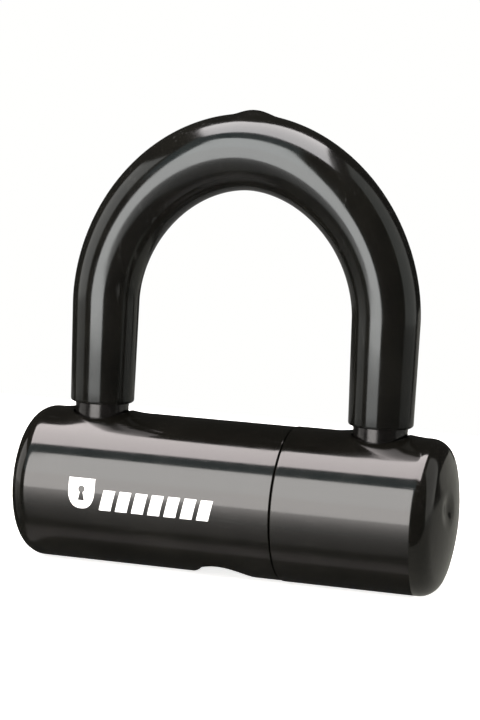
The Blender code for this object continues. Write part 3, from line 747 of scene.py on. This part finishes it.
def make_right_cover(finish):
    openings = [leg_opening(LEG_X)]
    return make_cover("right_cover_moulded", finish, RIGHT_RADIUS, RIGHT_SEAM, openings, dimpled)


def make_left_cover(finish):
    """Built towards +X like the right one, then mirrored."""
    openings = [leg_opening(LEG_X), key_opening(-KEY_OPENING_X)]
    cover = make_cover("left_cover_moulded", finish, LEFT_RADIUS, -LEFT_SEAM, openings)
    for vertex in cover.data.vertices:
        vertex.co.x = -vertex.co.x
    cover.data.flip_normals()
    return cover


def make_tube(finish):
    """The hardened tube under the covers, with its leg, key and pin holes."""
    places = [
        (LEG_X, 0.0, TUBE_LEG_HOLE, TUBE_PATCH_MARGIN),
        (-LEG_X, 0.0, TUBE_LEG_HOLE, TUBE_PATCH_MARGIN),
        (0.0, math.pi, TUBE_KEY_HOLE, TUBE_PATCH_MARGIN),
    ]
    for name in ("chassis_pin", "end_plug_pin"):
        for side in ("left", "right"):
            low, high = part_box(f"{side}_{name}")
            radius = (high.x - low.x) / 2 + PIN_HOLE_GAP
            places.append(((low.x + high.x) / 2, 1.5 * math.pi, radius, PIN_PATCH_MARGIN))
    openings, reaches = [], []
    for x, turn, radius, margin in places:
        half_steps = math.ceil(math.asin((radius + margin) / TUBE_INSIDE) / (2 * math.pi) * AROUND)
        openings.append(Opening(x, turn, radius + margin, half_steps))
        reaches.append(lambda aim, reach=radius: reach)
    solid = Solid()
    xs = stations(-TUBE_END, TUBE_END, openings, TUBE_SPACING)
    outer_ends, outer_rims = round_skin(solid, TUBE_RADIUS, xs, openings, reaches, rings=3)
    aims = [chosen for _, chosen in outer_rims]
    inner_ends, inner_rims = round_skin(solid, TUBE_INSIDE, xs, openings, reaches, aims, rings=3)
    for outer, inner in zip(outer_ends, inner_ends):
        solid.bridge(outer, inner)
    for (outer, _), (inner, _) in zip(outer_rims, inner_rims):
        solid.bridge(outer, inner)
    return solid.build("crossbar_tube_hardened", finish, sharp=30)


# ---------------------------------------------------------------- pins and springs

PIN_ROUNDING, PIN_SIDES = 0.3 * MM, 40
SPRING_TURNS, SPRING_WIRE, SPRING_WIRE_SIDES = 6, 0.18 * MM, 12
SPRING_STEPS_PER_TURN = 24
SPRING_CLOSING = 0.3  # how much closer the end turns lie than the middle ones


def make_pin(node, axis, across, finish):
    """A turned pin along an axis, in its CAD box. Its ends are rounded."""
    low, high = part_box(node)
    middle = (low + high) / 2
    half = (high - low).dot(axis) / 2
    radius = (high - low).dot(across) / 2
    aside = axis.cross(across)
    end = [
        (half - PIN_ROUNDING * (1 - math.sin(a)), radius - PIN_ROUNDING * (1 - math.cos(a)))
        for a in arc(6)
    ]
    solid = Solid()
    rows = []
    for along, reach in [(-along, reach) for along, reach in reversed(end)] + end:
        ring = [u * across + v * aside for u, v in circle(reach, PIN_SIDES)]
        rows.append(solid.row([middle + along * axis + point for point in ring]))
    for first, second in zip(rows, rows[1:]):
        solid.bridge(first, second)
    for row, side in ((rows[0], -1), (rows[-1], 1)):
        solid.fan(row, middle + side * half * axis)
    return solid.build(f"{node}_turned", finish)


def make_spring(node, finish):
    """A coil spring wound about X, as long and as wide as its CAD box, with close end turns."""
    low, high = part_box(node)
    middle = (low + high) / 2
    radius = (high.y - low.y) / 2 - SPRING_WIRE
    length = high.x - low.x - 2 * SPRING_WIRE
    count = SPRING_STEPS_PER_TURN * SPRING_TURNS
    solid = Solid()
    rows = []
    for i in range(count + 1):
        whole = 2 * math.pi * i / count
        turn = SPRING_TURNS * whole
        reached = (whole - SPRING_CLOSING * math.sin(whole)) / (2 * math.pi)
        rise = length * (1 - SPRING_CLOSING * math.cos(whole)) / (2 * math.pi * SPRING_TURNS)
        outward = Vector((0, math.cos(turn), math.sin(turn)))
        along = Vector((rise, -radius * math.sin(turn), radius * math.cos(turn))).normalized()
        aside = along.cross(outward)
        centre = Vector((low.x + SPRING_WIRE + length * reached, middle.y, middle.z)) + radius * outward
        section = circle(SPRING_WIRE, SPRING_WIRE_SIDES)
        rows.append(solid.row([centre + u * outward + v * aside for u, v in section]))
    for first, second in zip(rows, rows[1:]):
        solid.bridge(first, second)
    for row in (rows[0], rows[-1]):
        solid.fan(row, sum((solid.points[i] for i in row), Vector()) / len(row))
    return solid.build(f"{node}_wound", finish)


# ---------------------------------------------------------------- printed emblem

PRINT_LIFT, PRINT_ROOT = 0.03 * MM, 0.02 * MM
PRINT_STRIP = 0.8 * MM  # height of the strips that follow the cover's curve
PRINT_LEFT, PRINT_RIGHT = -36.0 * MM, 0.3 * MM
PRINT_TOP, PRINT_BOTTOM = 4.6 * MM, -2.7 * MM
DASH_COUNT, DASH_GAP, DASH_SLANT, DASH_TOP = 7, 1.15 * MM, 1.1 * MM, 2.2 * MM
SHIELD_WIDTH, SHIELD_GAP = 6.6 * MM, 1.3 * MM  # the gap is the one to the first dash
SHIELD_SIDES = 0.42  # share of its height where the sides are straight
SHIELD_POWER = 0.8  # of the cosine that draws its lower arcs
KEYHOLE_SIZE, KEYHOLE_DROP = 1.7 * MM, 0.36  # its eye's diameter, and how far down the shield it is
KEYHOLE_DEPTH, KEYHOLE_HALF_FOOT = 1.6, 0.48  # in units of the eye's diameter
KEYHOLE_NECK = math.radians(28)  # half the eye's opening to the slot


def shield_outline(centre, width, top, bottom, count=10):
    """A shield: a flat top, straight sides, and two arcs that meet in a point."""
    half = width / 2
    shoulder = top - SHIELD_SIDES * (top - bottom)
    points = [(centre + half, top), (centre + half, shoulder)]
    for side, angles in ((1, arc(count)[1:]), (-1, arc(count)[-2:0:-1])):
        for a in angles:
            across = half * math.cos(a) ** SHIELD_POWER
            points.append((centre + side * across, shoulder - (shoulder - bottom) * math.sin(a)))
    return points + [(centre - half, shoulder), (centre - half, top)]


def keyhole_outline(centre, middle, size, count=20):
    """A keyhole: a round eye over a flared slot."""
    eye = 0.5 * size
    points = []
    for i in range(count + 1):
        turn = -QUARTER + KEYHOLE_NECK + (2 * math.pi - 2 * KEYHOLE_NECK) * i / count
        points.append((centre + eye * math.cos(turn), middle + eye * math.sin(turn)))
    foot, half_foot = middle - KEYHOLE_DEPTH * size, KEYHOLE_HALF_FOOT * size
    return points + [(centre - half_foot, foot), (centre + half_foot, foot)]


def flat_shapes(outlines):
    """Fills the outlines, one inside another as a hole, and cuts them into level strips."""
    curve = bpy.data.curves.new("print", "CURVE")
    curve.dimensions = "2D"
    curve.fill_mode = "BOTH"
    for outline in outlines:
        spline = curve.splines.new("POLY")
        spline.points.add(len(outline) - 1)
        for point, (u, v) in zip(spline.points, outline):
            point.co = (u, v, 0, 1)
        spline.use_cyclic_u = True
    guide = bpy.data.objects.new("print", curve)
    bpy.context.scene.collection.objects.link(guide)
    bpy.context.view_layer.update()
    flat = bpy.data.meshes.new_from_object(guide.evaluated_get(bpy.context.evaluated_depsgraph_get()))
    bpy.data.objects.remove(guide, do_unlink=True)
    shape = bmesh.new()
    shape.from_mesh(flat)
    bmesh.ops.remove_doubles(shape, verts=shape.verts, dist=0.001 * MM)
    lowest, highest = min(v.co.y for v in shape.verts), max(v.co.y for v in shape.verts)
    for level in steps(lowest, highest, PRINT_STRIP)[1:-1]:
        geometry = shape.verts[:] + shape.edges[:] + shape.faces[:]
        bmesh.ops.bisect_plane(shape, geom=geometry, plane_co=(0, level, 0), plane_no=(0, 1, 0))
    return shape


def make_print_piece(finish):
    """A shield with a keyhole and a row of slanted dashes, on the left cover's front."""
    middle, height = PRINT_LEFT + SHIELD_WIDTH / 2, PRINT_TOP - PRINT_BOTTOM
    outlines = [
        shield_outline(middle, SHIELD_WIDTH, PRINT_TOP, PRINT_BOTTOM),
        keyhole_outline(middle, PRINT_TOP - KEYHOLE_DROP * height, KEYHOLE_SIZE),
    ]
    first = PRINT_LEFT + SHIELD_WIDTH + SHIELD_GAP
    pitch = (PRINT_RIGHT - DASH_SLANT - first + DASH_GAP) / DASH_COUNT
    for i in range(DASH_COUNT):
        start, end = first + i * pitch, first + (i + 1) * pitch - DASH_GAP
        lower_edge = [(start, PRINT_BOTTOM), (end, PRINT_BOTTOM)]
        outlines.append(lower_edge + [(end + DASH_SLANT, DASH_TOP), (start + DASH_SLANT, DASH_TOP)])
    shape = flat_shapes(outlines)
    lower = shape.verts[:]
    extruded = bmesh.ops.extrude_face_region(shape, geom=shape.faces[:], use_keep_orig=True)
    upper = [item for item in extruded["geom"] if isinstance(item, bmesh.types.BMVert)]
    for verts, reach in ((lower, LEFT_RADIUS - PRINT_ROOT), (upper, LEFT_RADIUS + PRINT_LIFT)):
        for vert in verts:
            rise = vert.co.y / LEFT_RADIUS
            vert.co = Vector((vert.co.x, -reach * math.cos(rise), AXIS + reach * math.sin(rise)))
    bmesh.ops.recalc_face_normals(shape, faces=shape.faces)
    mesh = bpy.data.meshes.new("printed_emblem")
    shape.to_mesh(mesh)
    shape.free()
    return as_piece(bpy.data.objects.new("printed_emblem", mesh), finish, sharp=30)


# ---------------------------------------------------------------- the lock


def make_smoothing(sharp=33):
    """A modifier's nodes that shade the CAD solids smooth, but for edges over an angle in degrees."""
    group = bpy.data.node_groups.new("smoothing", "GeometryNodeTree")
    for direction in ("INPUT", "OUTPUT"):
        group.interface.new_socket("Geometry", in_out=direction, socket_type="NodeSocketGeometry")
    merge = group.nodes.new("GeometryNodeMergeByDistance")
    merge.inputs["Distance"].default_value = 0.001 * MM
    smooth = group.nodes.new("GeometryNodeSetShadeSmooth")
    crisp = group.nodes.new("GeometryNodeSetShadeSmooth")
    crisp.domain = "EDGE"
    crisp.inputs["Shade Smooth"].default_value = False
    over = group.nodes.new("FunctionNodeCompare")
    over.inputs["B"].default_value = math.radians(sharp)
    angle = group.nodes.new("GeometryNodeInputMeshEdgeAngle")
    group.links.new(angle.outputs["Unsigned Angle"], over.inputs["A"])
    group.links.new(over.outputs["Result"], crisp.inputs["Selection"])
    chain = [group.nodes.new("NodeGroupInput"), merge, smooth, crisp, group.nodes.new("NodeGroupOutput")]
    for first, second in zip(chain, chain[1:]):
        group.links.new(first.outputs[0], second.inputs[0])
    return group


rubber = make_rubber()
plastic = make_plastic()
coating = make_bar_coating()
ground_steel = make_machined_steel("ground_steel", (0.50, 0.50, 0.51), "X", size=0.16 * MM)
turned_steel = make_machined_steel("turned_steel", (0.56, 0.55, 0.54), "Z", size=0.12 * MM)
spring_wire = make_machined_steel("spring_wire", (0.60, 0.60, 0.62), "X", size=0.1 * MM)
phosphate = make_phosphated_steel()
zinc = make_cast_zinc()
brass = make_brass("turned_brass", turned=True)
drawn_brass = make_brass("drawn_brass")
ink = make_print()

sleeve = make_sleeve(rubber)
bar = make_bar(coating)
right_cover = make_right_cover(plastic)
left_cover = make_left_cover(plastic)
tube = make_tube(phosphate)
emblem = make_print_piece(ink)

for piece, body, node, slot in (
    (sleeve, "shackle", "shackle_sleeve", "black_rubber"),
    (bar, "shackle", "shackle_bar", "hardened_steel"),
    (right_cover, "crossbar", "right_cover", "black_plastic"),
    (left_cover, "crossbar", "left_cover", "black_plastic"),
    (tube, "crossbar", "crossbar_tube", "hardened_steel"),
):
    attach(piece, body)
    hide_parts(node)
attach(emblem, "crossbar")

for number in range(1, 5):
    for kind, axis, finish, slot in (
        ("driver_pin", Vector((1, 0, 0)), turned_steel, "spring_steel"),
        ("key_pin", Vector((0, 1, 0)), drawn_brass, "brass"),
    ):
        node = f"{kind}_{number}"
        pin = make_pin(node, axis, Vector((0, 0, 1)), finish)
        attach(pin, node)
        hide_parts(node)

    node = f"driver_spring_{number}"
    spring = make_spring(node, spring_wire)
    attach(spring, "crossbar")
    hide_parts(node)
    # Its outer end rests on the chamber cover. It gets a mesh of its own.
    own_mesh(spring)

CARRIED = {
    "chassis_upper": zinc,
    "chassis_lower": zinc,
    "cylinder_shell": brass,
    "plug": brass,
    "chamber_cover": drawn_brass,
    "chassis_screw": turned_steel,
    "chassis_pin": turned_steel,
    "end_plug_pin": turned_steel,
    "end_plug": ground_steel,
    "bolt": ground_steel,
    "plug_clip": spring_wire,
    "cam": turned_steel,
}
smoothing = make_smoothing()
for node_name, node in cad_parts.items():
    match = max((key for key in CARRIED if key in node_name), key=len, default=None)
    if match:
        node.data.materials.clear()
        node.data.materials.append(CARRIED[match])
        node.modifiers.new("smoothing", "NODES").node_group = smoothing

# ---------------------------------------------------------------- stage, light and camera

FLOOR = ((-0.7, -0.9, 0.0), (0.7, -0.9, 0.0), (0.7, 0.25, 0.0), (-0.7, 0.25, 0.0))
TABLE = ((-0.9, -0.9, -MM), (0.9, -0.9, -MM), (0.9, 0.9, -MM), (-0.9, 0.9, -MM))
# Outlines of the light above, whose back edge slants, and of dim reflections seen in the gloss: on
# the table to the right of the lock, on the table behind it, and on a low card behind both.
OVERHEAD = (
    (-0.50, -0.36, 0.77),
    (0.36, -0.36, 0.77),
    (0.24, 0.34, 0.77),
    (0.10, 0.28, 0.77),
    (-0.15, 0.14, 0.77),
    (-0.28, 0.17, 0.77),
    (-0.50, 0.15, 0.77),
)
RIGHT_SHEEN = (
    (0.046, -0.04, 0.0),
    (0.16, -0.04, 0.0),
    (0.20, 0.13, 0.0),
    (0.27, 0.36, 0.0),
    (0.03, 0.36, 0.0),
    (0.046, 0.10, 0.0),
)
BACK_SHEEN = ((-0.3, 0.06, 0.0), (0.03, 0.06, 0.0), (0.03, 0.32, 0.0), (-0.3, 0.32, 0.0))
BACK_CARD = ((0.09, 0.36, 0.0), (0.31, 0.36, 0.0), (0.31, 0.36, 0.047), (0.09, 0.36, 0.047))
CAMERA_PLACE, CAMERA_LENS = (0.16214, -0.52361, 0.12024), 115.21
CAMERA_ANGLES = (17.24, 7.074, 2.55)  # yaw, pitch and roll


def make_flat(name, corners, material):
    """One flat face, which is part of the stage."""
    solid = Solid()
    solid.faces.append(tuple(solid.row([Vector(corner) for corner in corners])))
    flat = solid.build(name, material)
    return flat


def make_floor():
    """A white floor that glows a little, so that shadows stay faint. Gloss mirrors the table instead."""
    material = bpy.data.materials.new("floor_white")
    material.use_nodes = True
    shader = material.node_tree.nodes["Principled BSDF"]
    shader.inputs["Base Color"].default_value = (0.92, 0.92, 0.915, 1.0)
    shader.inputs["Roughness"].default_value = 0.7
    shader.inputs["Emission Color"].default_value = (1.0, 1.0, 0.99, 1.0)
    shader.inputs["Emission Strength"].default_value = 0.8
    floor = make_flat("floor", FLOOR, material)
    floor.visible_glossy = False


def make_table():
    """What the gloss mirrors of the floor: a dark polished top, as under a product photograph."""
    polish = bpy.data.materials.new("dark_table")
    polish.use_nodes = True
    shader = polish.node_tree.nodes["Principled BSDF"]
    shader.inputs["Base Color"].default_value = (0.045, 0.044, 0.042, 1.0)
    shader.inputs["Roughness"].default_value = 0.2
    table = make_flat("table", TABLE, polish)
    table.visible_camera = table.visible_diffuse = table.visible_shadow = False


def make_panel(name, centre, facing, width, height, radiance, colour):
    """A soft rectangular light of that radiance, facing a point."""
    light = bpy.data.lights.new(name, "AREA")
    light.shape = "RECTANGLE"
    light.size, light.size_y = width, height
    light.energy = math.pi * radiance * width * height
    light.color = colour
    panel = bpy.data.objects.new(name, light)
    bpy.context.scene.collection.objects.link(panel)
    panel.location = centre
    panel.rotation_euler = (Vector(centre) - Vector(facing)).to_track_quat("Z", "Y").to_euler()
    panel.visible_camera = False


def make_card(name, corners, radiance, colour):
    """A glowing card of any outline, out of the camera's sight."""
    glow = bpy.data.materials.new(name)
    glow.use_nodes = True
    tree = glow.node_tree
    tree.nodes.clear()
    emission = tree.nodes.new("ShaderNodeEmission")
    emission.inputs["Color"].default_value = (*colour, 1.0)
    emission.inputs["Strength"].default_value = radiance
    output = tree.nodes.new("ShaderNodeOutputMaterial")
    tree.links.new(emission.outputs[0], output.inputs["Surface"])
    card = make_flat(name, corners, glow)
    card.visible_camera = card.visible_shadow = False


def make_world():
    """White where the camera looks past everything, and a dim room for all other rays."""
    world = bpy.data.worlds.new("studio")
    world.use_nodes = True
    bpy.context.scene.world = world
    tree = world.node_tree
    room = tree.nodes["Background"]
    room.inputs["Color"].default_value = (0.03, 0.03, 0.028, 1)
    backdrop = tree.nodes.new("ShaderNodeBackground")
    backdrop.inputs["Color"].default_value = (1.0, 1.0, 0.99, 1)
    path = tree.nodes.new("ShaderNodeLightPath")
    mix = tree.nodes.new("ShaderNodeMixShader")
    tree.links.new(path.outputs["Is Camera Ray"], mix.inputs["Fac"])
    tree.links.new(room.outputs[0], mix.inputs[1])
    tree.links.new(backdrop.outputs[0], mix.inputs[2])
    tree.links.new(mix.outputs[0], tree.nodes["World Output"].inputs["Surface"])


def make_camera():
    """The photograph's viewpoint: to the right, a little above, with a slight roll."""
    yaw, pitch, roll = (math.radians(angle) for angle in CAMERA_ANGLES)
    back = Vector((math.sin(yaw) * math.cos(pitch), -math.cos(yaw) * math.cos(pitch), math.sin(pitch)))
    level = Vector((0, 0, 1)).cross(back).normalized()
    upright = back.cross(level)
    right = math.cos(roll) * level + math.sin(roll) * upright
    turned = Matrix((right, back.cross(right), back)).transposed()
    data = bpy.data.cameras.new("camera")
    data.lens, data.sensor_width = CAMERA_LENS, 36
    data.clip_start = 0.01
    camera = bpy.data.objects.new("camera", data)
    bpy.context.scene.collection.objects.link(camera)
    camera.matrix_world = Matrix.Translation(CAMERA_PLACE) @ turned.to_4x4()
    bpy.context.scene.camera = camera


make_floor()
make_table()
make_world()
make_panel(
    "front_panel", centre=(-0.108, -0.35, 0.205), facing=(-0.06, 0, 0.205),
    width=0.272, height=0.41, radiance=8.0, colour=(1.0, 0.96, 0.93),
)
make_card("overhead_card", OVERHEAD, radiance=10.2, colour=(1.0, 0.92, 0.91))
make_card("right_sheen", RIGHT_SHEEN, radiance=0.32, colour=(1.0, 0.98, 0.88))
make_card("back_sheen", BACK_SHEEN, radiance=0.22, colour=(1.0, 0.98, 0.94))
make_card("back_card", BACK_CARD, radiance=0.36, colour=(1.0, 0.98, 0.88))
make_panel(
    "teal_card", centre=(-0.35, -0.8, 0.78), facing=(0, 0, 0.02),
    width=0.95, height=1.0, radiance=0.5, colour=(0.7, 0.93, 1.0),
)
make_panel(
    "right_card", centre=(0.58, 0.16, 0.5), facing=(0, 0, 0.5),
    width=0.56, height=1.0, radiance=0.72, colour=(1.0, 0.99, 0.93),
)
make_panel(
    "left_fill", centre=(-0.75, -0.2, 0.25), facing=(0, 0, 0.1),
    width=0.55, height=0.6, radiance=1.6, colour=(1.0, 0.97, 0.93),
)
make_camera()
bpy.context.scene.view_settings.view_transform = "Standard"
